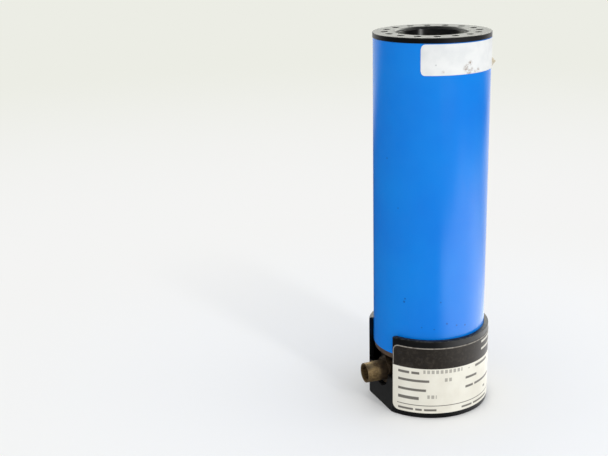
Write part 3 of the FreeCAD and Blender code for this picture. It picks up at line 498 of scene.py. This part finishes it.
def make_brass_dull():
    """Tarnished brass with dark patches and fine scratches, and painted shade where the base hides it.
    """
    surface = Surface("brass_dull")
    place = surface.place
    patches = place.noise(0.35, 6, 0.7)
    bare = patches.step(0.35, 0.7).mix(srgb(108, 88, 60), srgb(176, 150, 104))
    stain = place.noise(0.9, 5, 0.75).step(0.55, 0.75)
    stained = (stain * 0.7).mix(bare, srgb(58, 48, 38))
    # Painted shade: the brass turns dark and less metallic from where it goes into the base
    painted_shade = place.axis(0).step(*PAINTED_SHADE_SPAN)
    surface.put("Base Color", (painted_shade * 0.8).mix(stained, srgb(42, 32, 30)))
    surface.put("Metallic", 0.75 - stain * 0.5 - painted_shade * 0.2)
    surface.put("Roughness", patches * 0.25 + 0.38)
    surface.bump(place.noise(3.0, 4, 0.7), 0.015)
    return surface


def make_materials():
    """One finish for each of the record's material slots."""
    surfaces = {
        "tube_paint": make_tube_paint(),
        "ring_plastic": make_ring_plastic(),
        "base_plastic": make_base_plastic(),
        "black_tube": make_black_tube(),
        "label_film": make_label_film(),
        "tube_film": make_tube_film(),
        "brass_dull": make_brass_dull(),
    }
    for slot, dark, light, rough, scale, bump, grain, constants in PLAIN_FINISHES:
        surfaces[slot] = varied(slot, dark, light, rough, scale, bump, grain, **constants)
    return {slot: surface.material for slot, surface in surfaces.items()}


def dress_nodes(materials):
    """Give each of the lamp's solids the finish of its slot."""
    for row in frame["record"]["subparts"]:
        data = frame["nodes"][row["node"]].data
        data.materials.clear()
        data.materials.append(materials[row["material_slot"]])


# Pieces made here

def share(level, low, high):
    """From 0 below low to 1 above high, smoothly, in plain numbers."""
    part = min(max((level - low) / (high - low), 0), 1)
    return part * part * (3 - 2 * part)


def corner_inset(reach):
    """How far a rounded corner cuts in from the edge, at a distance from the end."""
    short = FILM_CORNER - min(reach, FILM_CORNER)
    return FILM_CORNER - math.sqrt(FILM_CORNER ** 2 - short ** 2)


def film_place(across, upwards, tall):
    """Where a point of the film lies: flat on the tube, or lifted off it near the torn corner."""
    near = corner_inset(across * FILM_LENGTH)
    far = corner_inset((1 - across) * FILM_LENGTH)
    up = near + upwards * (tall - 2 * near - far)
    lifted = 1 - share(up, TORN_HEIGHT, PEELED_HEIGHT)
    torn = TORN_LENGTH * (1 - share(up, 0, TORN_HEIGHT))
    ragged = noise.noise(Vector((up * RAGGED_PITCH, 0.0, RAGGED_START))) * RAGGED_DEPTH * lifted
    along = across * (FILM_LENGTH - ragged - torn)
    stuck = FILM_LENGTH - PEELED_LENGTH * lifted
    angle = math.radians(FILM_START) + min(along, stuck) / FILM_RADIUS
    free = max(along - stuck, 0)
    radius = FILM_RADIUS + FILM_CURL * free * free
    return Vector((
        radius * math.cos(angle) - free * math.sin(angle),
        radius * math.sin(angle) + free * math.cos(angle),
        up,
    ))


def add_piece(name, shape, material):
    """Turn a finished bmesh into a smooth piece that rides on the lamp."""
    for face in shape.faces:
        face.smooth = True
    data = bpy.data.meshes.new(name)
    shape.to_mesh(data)
    shape.free()
    data.set_sharp_from_angle(angle=SHARP_ANGLE)
    data.materials.append(material)
    piece = bpy.data.objects.new(name, data)
    bpy.context.scene.collection.objects.link(piece)
    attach(piece, "root")
    return piece


def make_film(material):
    """The film round the tube, its far lower corner torn and lifting."""
    low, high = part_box("tube_label")
    foot = low[2] / MM
    tall = (high[2] - low[2]) / MM
    shape = bmesh.new()
    bmesh.ops.create_grid(shape, x_segments=FILM_COLUMNS, y_segments=FILM_ROWS, size=0.5)
    for vertex in shape.verts:
        place = film_place(vertex.co.x + 0.5, vertex.co.y + 0.5, tall)
        vertex.co = (place + Vector((0, 0, foot))) * MM
    bmesh.ops.recalc_face_normals(shape, faces=shape.faces)
    bmesh.ops.solidify(shape, geom=shape.faces[:], thickness=-FILM_THICKNESS * MM)
    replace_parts(add_piece("tube_label_film", shape, material), "tube_label")


LIP_THICKNESS = 0.1
LIP_GAP = 0.02
LIP_SIDES = 96


def make_tube_lip(material):
    """The thin end of the light tube that lines the ring's bore up to its bevel."""
    light_tube = frame["nodes"]["light_tube"].data
    bore = min(math.hypot(vertex.co.x, vertex.co.y) for vertex in light_tube.vertices)
    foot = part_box("light_tube")[1][2]
    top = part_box("front_ring")[1][2] - BEVEL_DEPTH * MM
    shape = bmesh.new()
    bmesh.ops.create_circle(shape, segments=LIP_SIDES, radius=bore - LIP_GAP * MM)
    bmesh.ops.translate(shape, verts=shape.verts[:], vec=(0, 0, foot))
    raised = bmesh.ops.extrude_edge_only(shape, edges=shape.edges[:])["geom"]
    upper = [item for item in raised if isinstance(item, bmesh.types.BMVert)]
    bmesh.ops.translate(shape, verts=upper, vec=(0, 0, top - foot))
    bmesh.ops.recalc_face_normals(shape, faces=shape.faces[:])
    bmesh.ops.solidify(shape, geom=shape.faces[:], thickness=LIP_THICKNESS * MM)
    add_piece("light_tube_lip", shape, material)


# Floor and background, with distances from the lamp's axis in millimetres

FLOOR_HALF = 6.0
FLOOR_DROP = 0.05
FLOOR_COLOR = srgb(242, 242, 241)
TABLE = srgb(244, 244, 243)
BACKGROUND = srgb(236, 237, 229)
SHADOW_FADES = (120, 300)
TABLE_FADES = (300, 1100)
PICTURE_RIGHT = (math.cos(CAMERA_TURN), math.sin(CAMERA_TURN))

# The table in the lamp's sheen: dim, but for under the lamp, a patch in front of it and the wall behind
TABLE_GLOW = 0.06
UNDER_GLOW = 0.2
UNDER_LAMP = (100, 50)
WALL_GLOW = 0.9
WALL_STARTS = (420, 700)
PATCH_SLANT = 0.3
PATCH_LEFT = (-10, 65)
PATCH_RIGHT = (520, 380)
PATCH_FRONT = (-300, -210)
PATCH_GLOW = 1.2
PATCH_GAIN = 2.0
PATCH_BRIGHTENS = (180, 0)

# The studio in the lamp's sheen, with a bright band high on the wall behind it
AMBIENT = (0.96, 0.97, 0.98, 1)
DIM_STUDIO = (0.1, 0.1, 0.11, 1)
LOW_WALL = (0.3, 0.3, 0.29, 1)
BRIGHT_BAND = (5.2, 5.25, 4.85, 1)
BAND_FOOT = (0.2, 0.36)
BAND_HEAD = (0.75, 0.6)
BAND_SIDES = (0.2, 0.7)


def to_the_right(place):
    """How far a place or direction reaches to the right in the picture."""
    return place.axis(0) * PICTURE_RIGHT[0] + place.axis(1) * PICTURE_RIGHT[1]


def to_the_back(place):
    """How far a place or direction reaches away from the camera."""
    return place.axis(1) * PICTURE_RIGHT[0] - place.axis(0) * PICTURE_RIGHT[1]


def mirrored_glow(place):
    """How bright the table is in the lamp's sheen."""
    right = to_the_right(place)
    back = to_the_back(place)
    reach = (right * right + back * back).math("SQRT")
    slanted = right + back * PATCH_SLANT
    patch = slanted.step(*PATCH_LEFT) * back.step(*PATCH_FRONT) * right.step(*PATCH_RIGHT)
    strength = back.step(*PATCH_BRIGHTENS) * PATCH_GAIN + PATCH_GLOW
    wall = back.step(*WALL_STARTS) * WALL_GLOW
    under = reach.step(*UNDER_LAMP) * UNDER_GLOW
    return (patch * strength).most(wall).most(under).most(TABLE_GLOW)


def make_floor():
    """A pale floor that keeps the lamp's shadow and evens out into the background."""
    data = bpy.data.meshes.new("floor")
    shape = bmesh.new()
    bmesh.ops.create_grid(shape, x_segments=1, y_segments=1, size=FLOOR_HALF)
    shape.to_mesh(data)
    shape.free()
    floor = bpy.data.objects.new("floor", data)
    bpy.context.scene.collection.objects.link(floor)
    floor.location.z = -FLOOR_DROP * MM
    surface = Surface("floor", roughness=0.9, specular_ior_level=0.0)
    surface.put("Base Color", FLOOR_COLOR)
    place = surface.place
    seen = place.node("LightPath", {}, output="Is Camera Ray")
    mirrored = place.node("LightPath", {}, output="Is Glossy Ray")
    reach = place.length()
    plain = place.node("Emission", {"Color": reach.step(*TABLE_FADES).mix(TABLE, BACKGROUND)})
    glow = place.node("Emission", {"Strength": mirrored_glow(place)})
    base = Value(surface.tree, surface.shader.outputs["BSDF"])
    shown = place.node("MixShader", {0: seen * reach.step(*SHADOW_FADES), 1: base, 2: plain})
    shown = place.node("MixShader", {0: mirrored, 1: shown, 2: glow})
    feed(surface.tree, surface.tree.nodes["Material Output"].inputs["Surface"], shown)
    data.materials.append(surface.material)


def make_world():
    """An even pale background, dim in the lamp's sheen but for the wall behind and its bright band."""
    world = bpy.data.worlds.new("studio")
    world.use_nodes = True
    bpy.context.scene.world = world
    world.cycles.sampling_method = "NONE"
    tree = world.node_tree
    background = tree.nodes["Background"]
    rays = Value(tree, tree.nodes.new("ShaderNodeLightPath").outputs["Is Camera Ray"])
    seen = rays.node("LightPath", {}, output="Is Transmission Ray").most(rays)
    mirrored = rays.node("LightPath", {}, output="Is Glossy Ray")
    direction = rays.node("TexCoord", {}, output="Generated")
    height = direction.axis(2)
    wall = height.step(*BAND_FOOT).mix(LOW_WALL, BRIGHT_BAND)
    behind = to_the_back(direction).step(*BAND_SIDES) * height.step(*BAND_HEAD)
    ambient = mirrored.mix(AMBIENT, behind.mix(DIM_STUDIO, wall))
    feed(tree, background.inputs["Color"], seen.mix(ambient, BACKGROUND))


# Panels of light: a key high on the right in front, and two soft ones for the right side and the foot

# Each as (name, place, aim, width, height, watts, whether gloss mirrors it)
PANELS = (
    ("key_panel", (0.19, -0.93, 0.60), (0, 0, 0.1), 0.1, 0.6, 2.0, True),
    ("right_panel", (0.62, -0.30, 0.30), (0, 0, 0.08), 0.35, 0.35, 0.25, False),
    ("low_panel", (0.04, -0.60, 0.06), (0, 0, 0.03), 0.3, 0.06, 0.4, False),
)


def make_panel(name, place, aim, width, height, watts, mirrored):
    """A rectangle of light that the camera doesn't see."""
    data = bpy.data.lights.new(name, "AREA")
    data.shape = "RECTANGLE"
    data.size = width
    data.size_y = height
    data.energy = watts
    panel = bpy.data.objects.new(name, data)
    panel.location = place
    panel.rotation_euler = (Vector(aim) - Vector(place)).to_track_quat("-Z", "Y").to_euler()
    bpy.context.scene.collection.objects.link(panel)
    panel.visible_camera = False
    panel.visible_glossy = mirrored


make_camera()
materials = make_materials()
dress_nodes(materials)
make_film(materials["tube_film"])
make_tube_lip(materials["black_tube"])
make_floor()
make_world()
for row in PANELS:
    make_panel(*row)

bpy.context.scene.view_settings.view_transform = "Standard"
